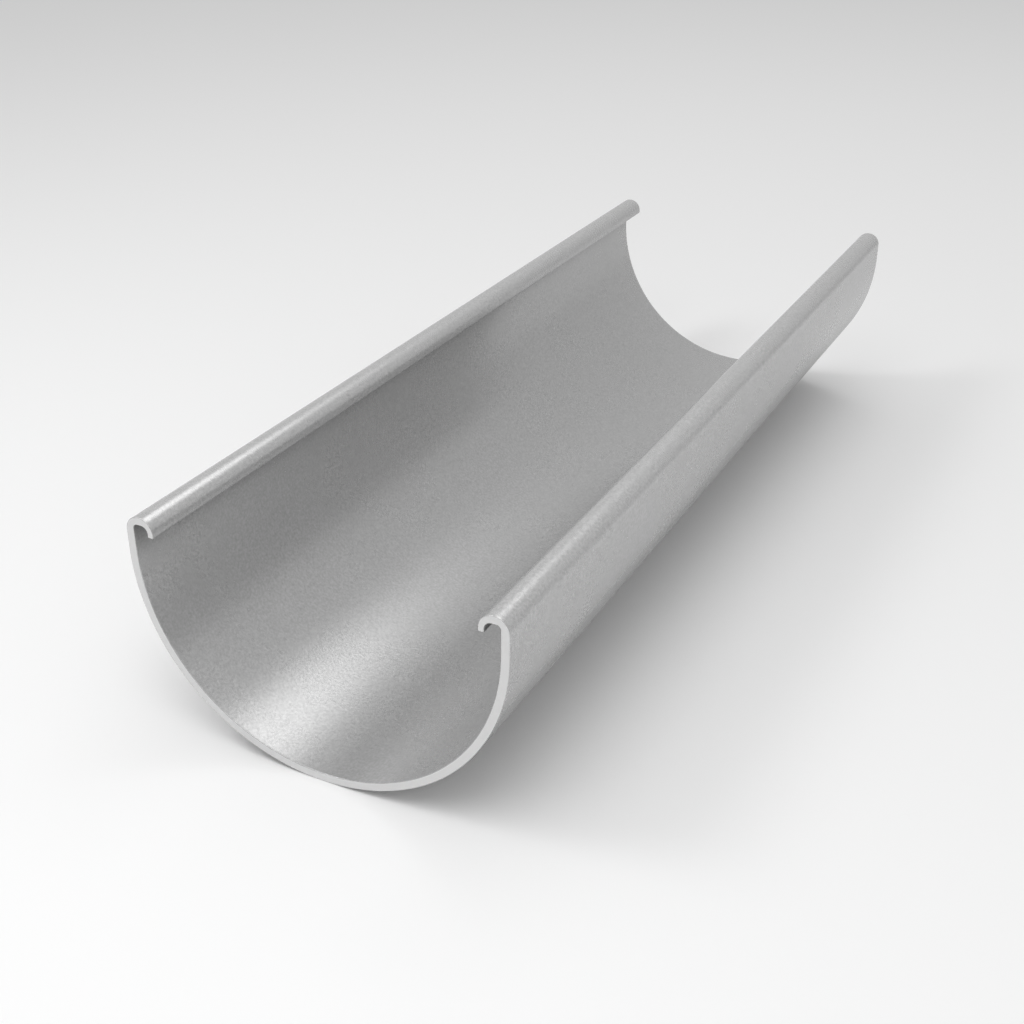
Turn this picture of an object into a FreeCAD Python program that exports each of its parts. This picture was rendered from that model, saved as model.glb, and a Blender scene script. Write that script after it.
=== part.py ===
import FreeCAD
import Part
import math
import os

# A short length of half-round gutter: one wall of aluminium that runs round the bottom,
# up both rims and inwards over into a lip on each side, cut square at both ends.
# Millimetres. X is across the gutter, Y along it, Z up. The origin is the middle of the
# length on the lowest line of the round, where the gutter lies on a level floor.

# The whole section
OUTSIDE_WIDTH = 125.0
LENGTH = 360.0
WALL = 2.8

# The upright rim, from the centre of the round up to the centre of the rolled lip
RIM_RISE = 6.5

# The rolled lip: its outside, the wall over its crown, and the tight inside corner at the rim
ROLL_RADIUS = 4.75
CROWN_THICKNESS = 2.6
RIM_CORNER_RADIUS = 1.3

# The thinner tip that the lip turns down into, measured down from the centre of the roll
TIP_THICKNESS = 1.95
TIP_DROP = 1.2
TIP_EDGE_RADIUS = 0.45

# The burr is taken off both cut ends all round
EDGE_BREAK = 0.2

# Places that follow from the sizes
OUTSIDE_RADIUS = OUTSIDE_WIDTH / 2
INSIDE_RADIUS = OUTSIDE_RADIUS - WALL
ROUND_CENTRE_Z = OUTSIDE_RADIUS
ROLL_CENTRE_X = OUTSIDE_RADIUS - ROLL_RADIUS
ROLL_CENTRE_Z = ROUND_CENTRE_Z + RIM_RISE
SLOT_DEPTH = ROLL_RADIUS - CROWN_THICKNESS
SLOT_ROOF_Z = ROLL_CENTRE_Z + SLOT_DEPTH
TIP_OUTER_X = ROLL_CENTRE_X - ROLL_RADIUS
TIP_INNER_X = TIP_OUTER_X + TIP_THICKNESS
TIP_END_Z = ROLL_CENTRE_Z - TIP_DROP
TIP_EDGE_Z = TIP_END_Z + TIP_EDGE_RADIUS


def point(side, x, z):
    """A point of the section at the cut end, on the right side (1) or the left side (-1)."""
    return FreeCAD.Vector(side * x, -LENGTH / 2, z)


def line(side, start, end):
    """A straight stretch of the section's outline between two (x, z) places."""
    return Part.LineSegment(point(side, *start), point(side, *end)).toShape()


def arc(side, centre, radius, start_angle, end_angle):
    """A round stretch of the outline, from one angle to the other in degrees from +X."""
    places = []
    for angle in (start_angle, (start_angle + end_angle) / 2, end_angle):
        x = centre[0] + radius * math.cos(math.radians(angle))
        z = centre[1] + radius * math.sin(math.radians(angle))
        places.append(point(side, x, z))
    return Part.Arc(*places).toShape()


def round_bottom(radius):
    """The half circle at the bottom, which both sides share."""
    return [arc(1, (0, ROUND_CENTRE_Z), radius, 180, 360)]


def outside_of_lip(side):
    """Up the rim's outside, over the roll and down the tip's outer face."""
    roll_centre = (ROLL_CENTRE_X, ROLL_CENTRE_Z)
    return [
        line(side, (OUTSIDE_RADIUS, ROUND_CENTRE_Z), (OUTSIDE_RADIUS, ROLL_CENTRE_Z)),
        arc(side, roll_centre, ROLL_RADIUS, 0, 180),
        line(side, (TIP_OUTER_X, ROLL_CENTRE_Z), (TIP_OUTER_X, TIP_EDGE_Z)),
    ]


def end_of_tip(side):
    """The flat end of the tip, with its two edges rounded over."""
    outer_x = TIP_OUTER_X + TIP_EDGE_RADIUS
    inner_x = TIP_INNER_X - TIP_EDGE_RADIUS
    return [
        arc(side, (outer_x, TIP_EDGE_Z), TIP_EDGE_RADIUS, 180, 270),
        line(side, (outer_x, TIP_END_Z), (inner_x, TIP_END_Z)),
        arc(side, (inner_x, TIP_EDGE_Z), TIP_EDGE_RADIUS, 270, 360),
    ]


def inside_of_lip(side):
    """Up the tip's inner face, across the roof of the slot and down the rim's inside."""
    tip_corner = (TIP_INNER_X + SLOT_DEPTH, ROLL_CENTRE_Z)
    rim_corner = (INSIDE_RADIUS - RIM_CORNER_RADIUS, SLOT_ROOF_Z - RIM_CORNER_RADIUS)
    return [
        line(side, (TIP_INNER_X, TIP_EDGE_Z), (TIP_INNER_X, ROLL_CENTRE_Z)),
        arc(side, tip_corner, SLOT_DEPTH, 180, 90),
        line(side, (tip_corner[0], SLOT_ROOF_Z), (rim_corner[0], SLOT_ROOF_Z)),
        arc(side, rim_corner, RIM_CORNER_RADIUS, 90, 0),
        line(side, (INSIDE_RADIUS, rim_corner[1]), (INSIDE_RADIUS, ROUND_CENTRE_Z)),
    ]


def section():
    """The wall's closed outline as a flat face at the near cut end."""
    edges = round_bottom(OUTSIDE_RADIUS) + round_bottom(INSIDE_RADIUS)
    for side in (1, -1):
        edges += outside_of_lip(side) + end_of_tip(side) + inside_of_lip(side)
    outline = Part.Wire(Part.__sortEdges__(edges))
    return Part.Face(outline)


def break_cut_edges(gutter):
    """The sharp edges all round both cut ends, chamfered lightly."""
    cut_edges = [edge for edge in gutter.Edges if edge.BoundBox.YLength < LENGTH / 2]
    return gutter.makeChamfer(EDGE_BREAK, cut_edges)


def gutter_section():
    """The section carried straight along the whole length."""
    gutter = section().extrude(FreeCAD.Vector(0, LENGTH, 0))
    return break_cut_edges(gutter)


os.makedirs("parts", exist_ok=True)
solid = gutter_section()
solid.exportStep("parts/gutter_section.step")
box = solid.BoundBox
print("gutter_section", "valid", solid.isValid(), "solids", len(solid.Solids))
print("size", round(box.XLength, 3), round(box.YLength, 3), round(box.ZLength, 3))
print("volume in cubic cm", round(solid.Volume / 1000, 2))
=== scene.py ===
import logging
import math
from dataclasses import dataclass, field
from enum import Enum
from typing import Any, Sequence

import bpy
import numpy as np
from mathutils import Matrix, Vector


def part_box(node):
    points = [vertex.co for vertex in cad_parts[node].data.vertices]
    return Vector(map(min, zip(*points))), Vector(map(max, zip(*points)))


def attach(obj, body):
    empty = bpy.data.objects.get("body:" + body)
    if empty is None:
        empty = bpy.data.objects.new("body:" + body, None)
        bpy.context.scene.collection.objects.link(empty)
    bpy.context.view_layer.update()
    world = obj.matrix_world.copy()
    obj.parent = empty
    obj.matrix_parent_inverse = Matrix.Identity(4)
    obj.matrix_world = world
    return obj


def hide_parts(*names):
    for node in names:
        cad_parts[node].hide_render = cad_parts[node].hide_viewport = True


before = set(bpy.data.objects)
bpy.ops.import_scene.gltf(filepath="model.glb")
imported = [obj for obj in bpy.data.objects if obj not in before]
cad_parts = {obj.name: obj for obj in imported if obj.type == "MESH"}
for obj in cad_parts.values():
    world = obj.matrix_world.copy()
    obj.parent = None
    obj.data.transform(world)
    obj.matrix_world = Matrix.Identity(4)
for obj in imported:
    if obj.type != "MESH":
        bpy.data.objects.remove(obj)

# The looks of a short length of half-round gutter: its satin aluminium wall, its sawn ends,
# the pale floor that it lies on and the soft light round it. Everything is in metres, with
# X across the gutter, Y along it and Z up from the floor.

LOG = logging.getLogger("gutter")
NODE = "gutter_section"
BODY = "root"
# Mesh attribute of painted light on the wall's colour: painted shade below 0, painted highlight above.
PAINTED_LIGHT = "painted_light"
MM = 0.001

Place = tuple[float, float, float]


class Finish(Enum):
    """The material slot of the gutter's mesh that a face wears."""

    WALL = 0
    SAWN = 1


class Facing(Enum):
    """Which side of a row of points the open air is on, seen along the row."""

    RIGHT = 1
    LEFT = -1


# Shader maths


@dataclass(frozen=True)
class Sock:
    """A shader value that Python's operators add up: each one puts its Math node in the tree."""

    tree: "Tree"
    link: Any

    def _math(self, operation: str, first: Any, second: Any) -> "Sock":
        """Add one Math node.

        Args:
            operation: Blender's name of the sum.
            first: Value or socket on its first input.
            second: Value or socket on its second input.

        Returns:
            The node's result.
        """
        return self.tree.node("ShaderNodeMath", {"operation": operation}, {0: first, 1: second})

    def __add__(self, other: Any) -> "Sock":
        """Self plus other."""
        return self._math("ADD", self, other)

    def __radd__(self, other: Any) -> "Sock":
        """Other plus self."""
        return self._math("ADD", other, self)

    def __sub__(self, other: Any) -> "Sock":
        """Self minus other."""
        return self._math("SUBTRACT", self, other)

    def __rsub__(self, other: Any) -> "Sock":
        """Other minus self."""
        return self._math("SUBTRACT", other, self)

    def __mul__(self, other: Any) -> "Sock":
        """Self times other."""
        return self._math("MULTIPLY", self, other)

    def __rmul__(self, other: Any) -> "Sock":
        """Other times self."""
        return self._math("MULTIPLY", other, self)


class Tree:
    """The nodes of a material or a lamp."""

    def __init__(self, owner: Any) -> None:
        """Start with no nodes.

        Args:
            owner: The material or lamp.
        """
        owner.use_nodes = True
        self.nodes = owner.node_tree.nodes
        self.links = owner.node_tree.links
        self.nodes.clear()

    def node(self, kind: str, settings: dict[str, Any], inputs: dict[Any, Any], output: Any = 0) -> Sock:
        """Make one node, with its settings first and then its sockets.

        Args:
            kind: The node's type.
            settings: Properties of the node, such as a Math node's operation.
            inputs: Value or Sock for each input, by name or number.
            output: The output that is wanted, by name or number.

        Returns:
            That output as a Sock.
        """
        made = self.nodes.new(kind)
        for name, value in settings.items():
            setattr(made, name, value)
        for name, value in inputs.items():
            if isinstance(value, Sock):
                self.links.new(value.link, made.inputs[name])
            else:
                made.inputs[name].default_value = value
        return Sock(self, made.outputs[output])

    def finish(self, kind: str, shader: Sock) -> None:
        """Join the last shader to the tree's output.

        Args:
            kind: The type of the output node.
            shader: The last shader.
        """
        end = self.nodes.new(kind)
        self.links.new(shader.link, end.inputs["Surface"])


class Shader(Tree):
    """A material with a Principled surface at its end."""

    def __init__(self, name: str) -> None:
        """Start an empty material.

        Args:
            name: The material's name.
        """
        self.material = bpy.data.materials.new(name)
        super().__init__(self.material)

    def noise(self, place: Sock, grain: float, detail: float = 2.0, roughness: float = 0.5) -> Sock:
        """Cloudy noise from 0 to 1.

        Args:
            place: Coordinates in metres.
            grain: Width of its blotches in metres.
            detail: Octaves of finer noise on it.
            roughness: Share of each finer octave.

        Returns:
            The noise as a value.
        """
        inputs = {"Vector": place, "Scale": 1.0 / grain, "Detail": detail, "Roughness": roughness}
        return self.node("ShaderNodeTexNoise", {}, inputs, "Fac")

    def place(self, stretch: Place = (1.0, 1.0, 1.0)) -> Sock:
        """Object coordinates, squeezed on an axis where the pattern should run long.

        Args:
            stretch: Factor on each axis.

        Returns:
            The coordinates.
        """
        here = self.node("ShaderNodeTexCoord", {}, {}, "Object")
        if stretch == (1.0, 1.0, 1.0):
            return here
        return self.node("ShaderNodeMapping", {}, {"Vector": here, "Scale": stretch})

    def greys(self, value: Sock, dark: float, light: float) -> Sock:
        """Greys from a dark one to a light one.

        Args:
            value: 0 for the dark one, 1 for the light one.
            dark: Linear grey.
            light: Linear grey.

        Returns:
            The grey as a colour.
        """
        inputs = {"Factor": value, 6: (dark, dark, dark, 1.0), 7: (light, light, light, 1.0)}
        return self.node("ShaderNodeMix", {"data_type": "RGBA"}, inputs, 2)

    def scaled(self, colour: Sock, factor: Sock) -> Sock:
        """Make a colour darker or lighter.

        Args:
            colour: The colour.
            factor: What each of its parts is multiplied by.

        Returns:
            The new colour.
        """
        return self.node("ShaderNodeVectorMath", {"operation": "SCALE"}, {0: colour, "Scale": factor})

    def bump(self, height: Sock) -> Sock:
        """Tip the surface by a relief.

        Args:
            height: The relief's height in millimetres.

        Returns:
            The tipped normal.
        """
        return self.node("ShaderNodeBump", {}, {"Strength": 1.0, "Distance": MM, "Height": height})

    def surface(self, inputs: dict[str, Any]) -> bpy.types.Material:
        """End the tree in a Principled surface.

        Args:
            inputs: Values and links of the surface.

        Returns:
            The finished material.
        """
        self.finish("ShaderNodeOutputMaterial", self.node("ShaderNodeBsdfPrincipled", {}, inputs))
        return self.material


@dataclass(frozen=True)
class SatinMetal:
    """The wall's finish: aluminium with a satin, slightly matt skin and a fine grain.

    A pale grain is also a little glossier than a dark one, and each tips the surface a little,
    so the speckle is strongest in and beside a reflection. The mesh's painted light scales the
    colour: painted shade where it is below 0, painted highlight where it is above.
    """

    tone: float = 0.49
    metal_share: float = 0.50
    sheen_roughness: float = 0.27
    roughness_drift: float = 0.02
    drift_width: float = 35 * MM
    grain: float = 0.85 * MM
    grain_detail: float = 1.0
    grain_roughness: float = 0.6
    speckle: float = 0.27
    gloss_speckle: float = 0.012
    grain_depth: float = 0.022 * MM
    line_width: float = 0.8 * MM
    line_length: float = 120 * MM
    line_depth: float = 0.004 * MM

    def material(self) -> bpy.types.Material:
        """Build the finish: the grain and faint lines along the length tip the surface.

        Returns:
            The material, on Object coordinates.
        """
        shader = Shader("satin_aluminium")
        here = shader.place()
        grain = shader.noise(here, self.grain, self.grain_detail, self.grain_roughness)
        drift = shader.noise(here, self.drift_width)
        lines = shader.noise(shader.place((1.0, self.line_width / self.line_length, 1.0)), self.line_width)
        # Painted light from the mesh scales the colour: painted shade and painted highlight.
        painted_light = shader.node("ShaderNodeAttribute", {"attribute_name": PAINTED_LIGHT}, {}, "Fac")
        dark, light = self.tone * (1 - self.speckle), self.tone * (1 + self.speckle)
        colour = shader.scaled(shader.greys(grain, dark, light), 1 + painted_light)
        spread = (drift - 0.5) * (2 * self.roughness_drift) - (grain - 0.5) * (2 * self.gloss_speckle)
        rough = self.sheen_roughness + spread
        normal = shader.bump(grain * (self.grain_depth / MM) + lines * (self.line_depth / MM))
        inputs = {"Base Color": colour, "Metallic": self.metal_share, "Roughness": rough, "Normal": normal}
        return shader.surface(inputs)


@dataclass(frozen=True)
class SawnEnd:
    """The cut ends: paler metal with the faint straight marks of a fine saw."""

    tone: float = 0.68
    metal_share: float = 0.60
    roughness: float = 0.45
    tone_change: float = 0.03
    mark_width: float = 0.25 * MM
    mark_length: float = 5 * MM
    mark_depth: float = 0.006 * MM

    def material(self) -> bpy.types.Material:
        """Build the finish: the marks run level across the end.

        Returns:
            The material, on Object coordinates.
        """
        shader = Shader("sawn_aluminium")
        marks = shader.noise(shader.place((self.mark_width / self.mark_length, 1.0, 1.0)), self.mark_width)
        dark, light = self.tone * (1 - self.tone_change), self.tone * (1 + self.tone_change)
        colour = shader.greys(marks, dark, light)
        normal = shader.bump(marks * (self.mark_depth / MM))
        rough = self.roughness
        inputs = {"Base Color": colour, "Metallic": self.metal_share, "Roughness": rough, "Normal": normal}
        return shader.surface(inputs)


# The gutter's own shape


@dataclass(frozen=True)
class Row:
    """A row of points of the section, with the way out of the metal at each one."""

    places: np.ndarray
    outward: np.ndarray

    @staticmethod
    def arc(centre: Sequence[float], radius: float, turn: Sequence[float], count: int, air: Facing) -> "Row":
        """A round stretch: its points are the centre plus the radius times (cosine, sine).

        Args:
            centre: Its centre, (x, z).
            radius: Its radius.
            turn: Its first and last angle in degrees from +X.
            count: Its number of points.
            air: The side of the row that is open.

        Returns:
            The stretch.
        """
        angles = np.radians(np.linspace(turn[0], turn[1], count))
        spoke = np.stack([np.cos(angles), np.sin(angles)], axis=1)
        way = math.copysign(1.0, turn[1] - turn[0]) * air.value
        return Row(np.asarray(centre) + radius * spoke, way * spoke)

    @staticmethod
    def line(start: Sequence[float], end: Sequence[float], count: int, air: Facing) -> "Row":
        """A straight stretch: its points are spaced evenly from start to end.

        Args:
            start: Its first point, (x, z).
            end: Its last point.
            count: Its number of points.
            air: The side of the row that is open.

        Returns:
            The stretch.
        """
        step = np.subtract(end, start)
        share = np.linspace(0.0, 1.0, count)[:, None]
        right = np.array([step[1], -step[0]]) / np.hypot(*step)
        return Row(np.asarray(start) + share * step, np.repeat(air.value * right[None], count, axis=0))

    @staticmethod
    def chain(stretches: Sequence["Row"]) -> "Row":
        """Join stretches end to end, each but the first without its first point.

        Args:
            stretches: Stretches that meet.

        Returns:
            One row.
        """
        rest = stretches[1:]
        places = np.concatenate([stretches[0].places] + [row.places[1:] for row in rest])
        outward = np.concatenate([stretches[0].outward] + [row.outward[1:] for row in rest])
        return Row(places, outward)

    def both_sides(self) -> "Row":
        """The row on the left side, mirrored and taken backwards, and then the row itself."""
        flip = np.array([-1.0, 1.0])
        left = Row(self.places[::-1] * flip, self.outward[::-1] * flip)
        return Row.chain([left, self])


@dataclass(frozen=True)
class PaintedLight:
    """Painted shade and highlight on the metal's colour, greatest at one height and fading out above and
    below it.
    """

    height: float
    reach: float
    change: float

    def at(self, heights: np.ndarray) -> np.ndarray:
        """How much the painted light changes the colour at each height.

        With s 1 minus the share of the reach that a point is away from the height, and at
        least 0, it is the change times s squared times 3 minus 2 s.

        Args:
            heights: Heights of points.

        Returns:
            The change at the height itself to 0 past the reach.
        """
        share = np.maximum(1 - np.abs(heights - self.height) / self.reach, 0.0)
        return self.change * share * share * (3 - 2 * share)


@dataclass(frozen=True)
class Section:
    """The wall's section: a half circle, two upright rims and a lip rolled inwards on each.

    The top of each roll, between two angles in degrees, is a stretch of its own, because the
    inner skin beside it is flat.
    """

    half_width: float
    wall: float = 2.8 * MM
    rim_rise: float = 6.5 * MM
    roll_radius: float = 4.75 * MM
    crown: float = 2.6 * MM
    rim_corner: float = 1.3 * MM
    tip: float = 1.95 * MM
    tip_drop: float = 1.2 * MM
    tip_edge: float = 0.45 * MM
    roll_top: tuple[float, float] = (80, 100)
    # Painted shade in a soft band round the outside of the round, about 32 mm up.
    foot_painted_shade: PaintedLight = PaintedLight(32 * MM, 19 * MM, -0.32)
    # Painted shade up in the slots under the lips, fading out below their roof.
    slot_reach: float = 13 * MM
    slot_painted_shade: float = -0.52
    # A painted highlight over the tops of the rolls.
    roll_reach: float = 8 * MM
    roll_painted_highlight: float = 0.11
    # Painted shade in a thin line along the outside of each roll, just above its centre; the mesh has no
    # crease there.
    crease_rise: float = 1.4 * MM
    crease_reach: float = 1.6 * MM
    crease_painted_shade: float = -0.16
    round_count: int = 73
    roll_count: int = 15
    short_count: int = 4

    @property
    def roll_centre(self) -> tuple[float, float]:
        """Centre of the right roll."""
        return self.half_width - self.roll_radius, self.half_width + self.rim_rise

    @property
    def tip_faces(self) -> tuple[float, float]:
        """How far out the tip's outer and inner faces stand."""
        outer = self.half_width - 2 * self.roll_radius
        return outer, outer + self.tip

    @property
    def slot_roof(self) -> float:
        """Height of the roof of the slot under each lip."""
        return self.roll_centre[1] + self.roll_radius - self.crown

    def outer_painted_light(self, places: np.ndarray) -> np.ndarray:
        """How painted light changes the outer skin's colour.

        It has painted shade low on the round and in a line along the outside of each roll, and a
        painted highlight over the rolls.

        Args:
            places: Points of the outer skin, (x, z).

        Returns:
            The change at each point.
        """
        across, heights = np.abs(places[:, 0]), places[:, 1]
        middle, level = self.roll_centre
        roll = PaintedLight(level + self.roll_radius, self.roll_reach, self.roll_painted_highlight)
        crease = PaintedLight(level + self.crease_rise, self.crease_reach, self.crease_painted_shade)
        return self.foot_painted_shade.at(heights) + roll.at(heights) + (across > middle) * crease.at(heights)

    def inner_painted_shade(self, places: np.ndarray) -> np.ndarray:
        """How painted light changes the inner skin's colour: painted shade up in the slots under the lips.

        Args:
            places: Points of the inner skin, (x, z).

        Returns:
            The change at each point.
        """
        return PaintedLight(self.slot_roof, self.slot_reach, self.slot_painted_shade).at(places[:, 1])

    def outside(self) -> Row:
        """The outer skin of the right half, from the lowest line to the middle of the tip's end."""
        air = Facing.RIGHT
        centre, (outer, inner) = self.roll_centre, self.tip_faces
        end = centre[1] - self.tip_drop
        edge = end + self.tip_edge
        many, few = self.roll_count, self.short_count
        top_start, top_end = self.roll_top
        return Row.chain([
            Row.arc((0, self.half_width), self.half_width, (-90, 0), self.round_count, air),
            Row.line((self.half_width, self.half_width), (self.half_width, centre[1]), many, air),
            Row.arc(centre, self.roll_radius, (0, top_start), many, air),
            Row.arc(centre, self.roll_radius, (top_start, top_end), few, air),
            Row.arc(centre, self.roll_radius, (top_end, 180), many, air),
            Row.line((outer, centre[1]), (outer, edge), few, air),
            Row.arc((outer + self.tip_edge, edge), self.tip_edge, (180, 270), few, air),
            Row.line((outer + self.tip_edge, end), ((outer + inner) / 2, end), few, air),
        ])

    def inside(self) -> Row:
        """The inner skin of the right half, with as many points as the outer one beside it."""
        air = Facing.LEFT
        centre, (outer, inner) = self.roll_centre, self.tip_faces
        bore = self.half_width - self.wall
        depth = self.roll_radius - self.crown
        roof = self.slot_roof
        corner = (bore - self.rim_corner, roof - self.rim_corner)
        end = centre[1] - self.tip_drop
        edge = end + self.tip_edge
        many, few = self.roll_count, self.short_count
        return Row.chain([
            Row.arc((0, self.half_width), bore, (-90, 0), self.round_count, air),
            Row.line((bore, self.half_width), (bore, corner[1]), many, air),
            Row.arc(corner, self.rim_corner, (0, 90), many, air),
            Row.line((corner[0], roof), (inner + depth, roof), few, air),
            Row.arc((inner + depth, centre[1]), depth, (90, 180), many, air),
            Row.line((inner, centre[1]), (inner, edge), few, air),
            Row.arc((inner - self.tip_edge, edge), self.tip_edge, (0, -90), few, air),
            Row.line((inner - self.tip_edge, end), ((outer + inner) / 2, end), few, air),
        ])


@dataclass
class GutterSection:
    """The gutter: its section carried straight from one sawn end to the other."""

    section: Section
    near: float
    far: float
    edge_break: float = 0.2 * MM
    edge_steps: int = 5
    hold: float = 0.4 * MM
    spans: int = 60
    wall_finish: SatinMetal = field(default_factory=SatinMetal)
    sawn_finish: SawnEnd = field(default_factory=SawnEnd)

    def stations(self) -> tuple[np.ndarray, np.ndarray]:
        """Where the section is set along the length, and how far it is drawn in there.

        The broken edge is a quarter circle: at angle a it lies 1 minus cosine a past the cut
        and is drawn in by 1 minus sine a, both times the radius of the edge.

        Returns:
            The places along Y and the depths.
        """
        turn = np.linspace(0.0, math.pi / 2, self.edge_steps)
        past = self.edge_break * (1 - np.cos(turn))
        depth = self.edge_break * (1 - np.sin(turn))
        reach = past[-1] + self.hold
        middle = np.linspace(self.near + reach, self.far - reach, self.spans + 1)
        along = np.concatenate([self.near + past, middle, self.far - past[::-1]])
        drawn = np.concatenate([depth, np.zeros(len(middle)), depth[::-1]])
        return along, drawn

    def mesh(self) -> bpy.types.Mesh:
        """Work out the closed skin: rings of the section at each station, and a flat face on each end.

        Returns:
            The mesh, with the end faces in the sawn slot and sharp edges round them.
        """
        outer, inner = self.section.outside().both_sides(), self.section.inside().both_sides()
        count = len(outer.places)
        places = np.concatenate([outer.places, inner.places[-2:0:-1]])
        outward = np.concatenate([outer.outward, inner.outward[-2:0:-1]])
        along, drawn = self.stations()
        flat = places[None] - drawn[:, None, None] * outward[None]
        ring = len(places)
        points = np.empty((len(along), ring, 3))
        points[..., 0] = flat[..., 0]
        points[..., 1] = along[:, None]
        points[..., 2] = flat[..., 1]
        skin = self.skin_faces(len(along), ring)
        near_cap = self.cap_faces(count, ring)
        far_cap = [face[::-1] for face in near_cap]
        last = (len(along) - 1) * ring
        faces = skin.tolist() + near_cap + [[last + corner for corner in face] for face in far_cap]
        mesh = bpy.data.meshes.new(NODE)
        mesh.from_pydata(points.reshape(-1, 3).tolist(), [], faces)
        slots = np.full(len(faces), Finish.SAWN.value, dtype=np.int32)
        slots[:len(skin)] = Finish.WALL.value
        mesh.polygons.foreach_set("material_index", slots)
        mesh.polygons.foreach_set("use_smooth", np.ones(len(faces), dtype=bool))
        self.sharpen_caps(mesh, ring, last)
        # Painted light at each point: painted shade and painted highlight for the wall's colour.
        painted_lights = [self.section.outer_painted_light(places[:count]), self.section.inner_painted_shade(places[count:])]
        painted_light = mesh.attributes.new(PAINTED_LIGHT, "FLOAT", "POINT")
        painted_light.data.foreach_set("value", np.tile(np.concatenate(painted_lights), len(along)))
        mesh.update()
        return mesh

    @staticmethod
    def skin_faces(stations: int, ring: int) -> np.ndarray:
        """The four corners of every face between two neighbouring rings.

        Args:
            stations: Number of rings.
            ring: Points in one ring.

        Returns:
            One row of four point numbers for each face, facing out.
        """
        first = np.arange(stations - 1)[:, None] * ring
        here = np.arange(ring)[None]
        beside = (here + 1) % ring
        corners = [first + here, first + ring + here, first + ring + beside, first + beside]
        return np.stack(corners, axis=-1).reshape(-1, 4)

    @staticmethod
    def cap_faces(count: int, ring: int) -> list[list[int]]:
        """The near cut face as a strip from tip to tip, between the outer and the inner skin.

        Args:
            count: Points in the outer row.
            ring: Points in the whole ring, whose inner row runs back from tip to tip.

        Returns:
            Point numbers of each face: a triangle at each tip and four-sided faces between.
        """
        outer = np.arange(count)
        inner = (ring - outer) % ring
        quads = np.stack([outer[1:-2], outer[2:-1], inner[2:-1], inner[1:-2]], axis=1).tolist()
        first_tip = [[0, 1, ring - 1]]
        last_tip = [[count - 2, count - 1, count]]
        return first_tip + quads + last_tip

    @staticmethod
    def sharpen_caps(mesh: bpy.types.Mesh, ring: int, last: int) -> None:
        """Mark the border of both cut faces sharp, so that they stay flat beside their broken edges.

        Args:
            mesh: The mesh.
            ring: Points in one ring.
            last: First point of the last ring.
        """
        ends = np.empty(len(mesh.edges) * 2, dtype=np.int64)
        mesh.edges.foreach_get("vertices", ends)
        ends = ends.reshape(-1, 2)
        step = np.abs(ends[:, 0] - ends[:, 1])
        round_the_ring = (step == 1) | (step == ring - 1)
        on_an_end = (ends < ring).all(axis=1) | (ends >= last).all(axis=1)
        sharp = mesh.attributes.new("sharp_edge", "BOOLEAN", "EDGE")
        sharp.data.foreach_set("value", round_the_ring & on_an_end)

    def build(self) -> bpy.types.Object:
        """Put the gutter in the scene in place of its plain solid.

        Returns:
            The piece.
        """
        piece = bpy.data.objects.new("gutter_wall", self.mesh())
        bpy.context.scene.collection.objects.link(piece)
        piece.data.materials.append(self.wall_finish.material())
        piece.data.materials.append(self.sawn_finish.material())
        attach(piece, BODY)
        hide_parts(NODE)
        LOG.info("%s: %d faces", piece.name, len(piece.data.polygons))
        return piece


# The studio


@dataclass(frozen=True)
class Floor:
    """A wide pale floor that the gutter lies on.

    Far out it grows white, so that it is as bright as the room's light and no horizon shows.
    """

    reach: float = 12.0
    tone: float = 0.90
    far_tone: float = 1.0
    change_start: float = 1.8
    change_end: float = 5.0

    def material(self) -> bpy.types.Material:
        """Build the floor's paint, whose tone changes smoothly with the way from the origin.

        Returns:
            The material.
        """
        shader = Shader("pale_floor")
        away = shader.node("ShaderNodeVectorMath", {"operation": "LENGTH"}, {0: shader.place()}, "Value")
        ends = {"Value": away, "From Min": self.change_start, "From Max": self.change_end}
        share = shader.node("ShaderNodeMapRange", {"interpolation_type": "SMOOTHSTEP"}, ends)
        colour = shader.greys(share, self.tone, self.far_tone)
        return shader.surface({"Base Color": colour, "Roughness": 0.9, "Specular IOR Level": 0.0})

    def build(self) -> bpy.types.Object:
        """Lay the floor.

        Returns:
            The floor, which is no part of the gutter.
        """
        corners = self.reach * np.array([(-1, -1, 0), (1, -1, 0), (1, 1, 0), (-1, 1, 0)], dtype=float)
        mesh = bpy.data.meshes.new("floor")
        mesh.from_pydata(corners.tolist(), [], [(0, 1, 2, 3)])
        floor = bpy.data.objects.new("floor", mesh)
        bpy.context.scene.collection.objects.link(floor)
        mesh.materials.append(self.material())
        return floor


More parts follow.
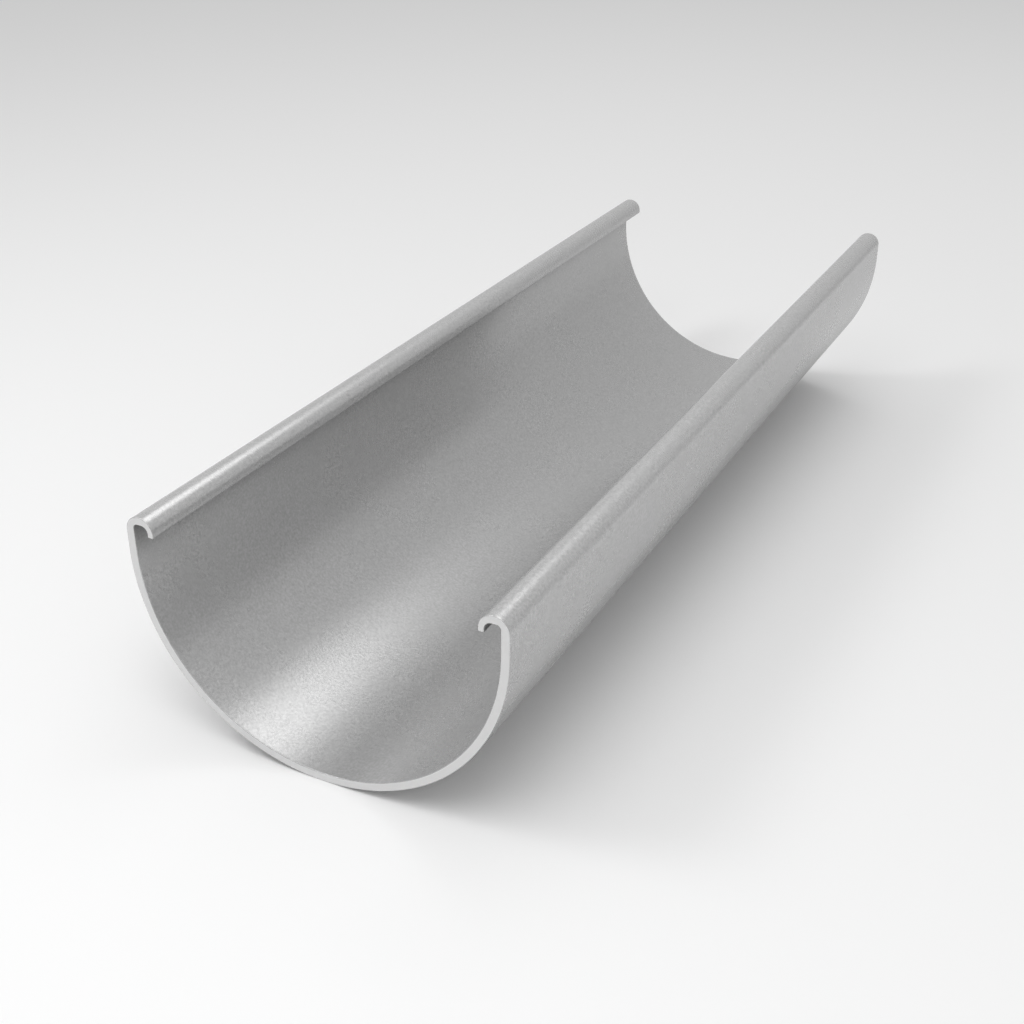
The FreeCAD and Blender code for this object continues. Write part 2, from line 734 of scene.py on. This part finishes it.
@dataclass(frozen=True)
class Softbox:
    """A soft lamp that is aimed at the gutter: full in its middle, fading out to its edge."""

    name: str
    bearing: float
    elevation: float
    distance: float
    width: float
    height: float
    radiance: float
    aim: Place = (0.0, 0.0, 0.03)

    @property
    def place(self) -> Vector:
        """The lamp's place: so far from what it lights, its bearing turned from +X and its elevation up."""
        bearing, elevation = math.radians(self.bearing), math.radians(self.elevation)
        level = math.cos(elevation)
        way = Vector((level * math.cos(bearing), level * math.sin(bearing), math.sin(elevation)))
        return Vector(self.aim) + self.distance * way

    def fade(self, lamp: bpy.types.AreaLight) -> None:
        """Fade the lamp out: its strength is 1 minus the square of the way from middle to edge.

        Args:
            lamp: The lamp, whose face runs from 0 to 1 both ways.
        """
        tree = Tree(lamp)
        spot = tree.node("ShaderNodeNewGeometry", {}, {}, "Parametric")
        middle = (0.5, 0.5, 0.0)
        offset = tree.node("ShaderNodeVectorMath", {"operation": "SUBTRACT"}, {0: spot, 1: middle})
        both = {0: offset, 1: offset}
        squared = tree.node("ShaderNodeVectorMath", {"operation": "DOT_PRODUCT"}, both, "Value")
        strength = tree.node("ShaderNodeMath", {"operation": "MAXIMUM"}, {0: 1 - 4 * squared, 1: 0.0})
        tree.finish("ShaderNodeOutputLight", tree.node("ShaderNodeEmission", {}, {"Strength": strength}))

    def build(self) -> None:
        """Hang the lamp. A flat lamp of area A and power P shines with P over pi A."""
        lamp = bpy.data.lights.new(self.name, "AREA")
        lamp.shape = "RECTANGLE"
        lamp.size, lamp.size_y = self.width, self.height
        lamp.energy = self.radiance * math.pi * self.width * self.height
        self.fade(lamp)
        holder = bpy.data.objects.new(self.name, lamp)
        bpy.context.scene.collection.objects.link(holder)
        look = Vector(self.aim) - self.place
        turn = look.to_track_quat("-Z", "Y").to_matrix().to_4x4()
        holder.matrix_world = Matrix.Translation(self.place) @ turn
        holder.visible_camera = False


@dataclass(frozen=True)
class Studio:
    """The lamps and the even light of the room."""

    room_light: float = 0.61
    lamps: tuple[Softbox, ...] = (
        Softbox("front_left", 217.3, 49.4, 0.98, 0.48, 0.40, 6.92),
        Softbox("over_camera", 281.7, 54.8, 0.75, 0.61, 0.50, 4.08),
        Softbox("over_far_end", 89.5, 56.9, 1.28, 1.12, 0.40, 2.92),
    )

    def build(self) -> None:
        """Set the room's light and hang the lamps."""
        world = bpy.data.worlds.new("room")
        world.use_nodes = True
        ground = world.node_tree.nodes["Background"]
        ground.inputs["Color"].default_value = (1.0, 1.0, 1.0, 1.0)
        ground.inputs["Strength"].default_value = self.room_light
        bpy.context.scene.world = world
        for lamp in self.lamps:
            lamp.build()
        LOG.info("studio: %d lamps", len(self.lamps))


@dataclass(frozen=True)
class Viewpoint:
    """The camera, level from side to side, at the photographer's place."""

    place: Place = (0.20766, -0.46182, 0.27490)
    azimuth: float = 27.171
    elevation: float = 28.179
    lens: float = 51.80
    sensor: float = 36.0
    nearest: float = 10 * MM

    def build(self) -> None:
        """Set up the camera: a turn about Z by the azimuth after tipping down by the elevation."""
        camera = bpy.data.cameras.new("viewpoint")
        camera.lens = self.lens
        camera.sensor_width = self.sensor
        camera.clip_start = self.nearest
        holder = bpy.data.objects.new("viewpoint", camera)
        bpy.context.scene.collection.objects.link(holder)
        holder.location = self.place
        holder.rotation_euler = (math.radians(90 - self.elevation), 0.0, math.radians(self.azimuth))
        bpy.context.scene.camera = holder


def main() -> None:
    """Build the gutter and its studio."""
    logging.basicConfig(level=logging.INFO, format="%(name)s %(message)s")
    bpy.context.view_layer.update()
    bpy.context.scene.view_settings.view_transform = "Standard"
    near_corner, far_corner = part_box(NODE)
    section = Section(half_width=(far_corner.x - near_corner.x) / 2)
    gutter = GutterSection(section, near_corner.y, far_corner.y)
    gutter.build()
    Floor().build()
    Studio().build()
    Viewpoint().build()


if __name__ == "__main__":
    main()
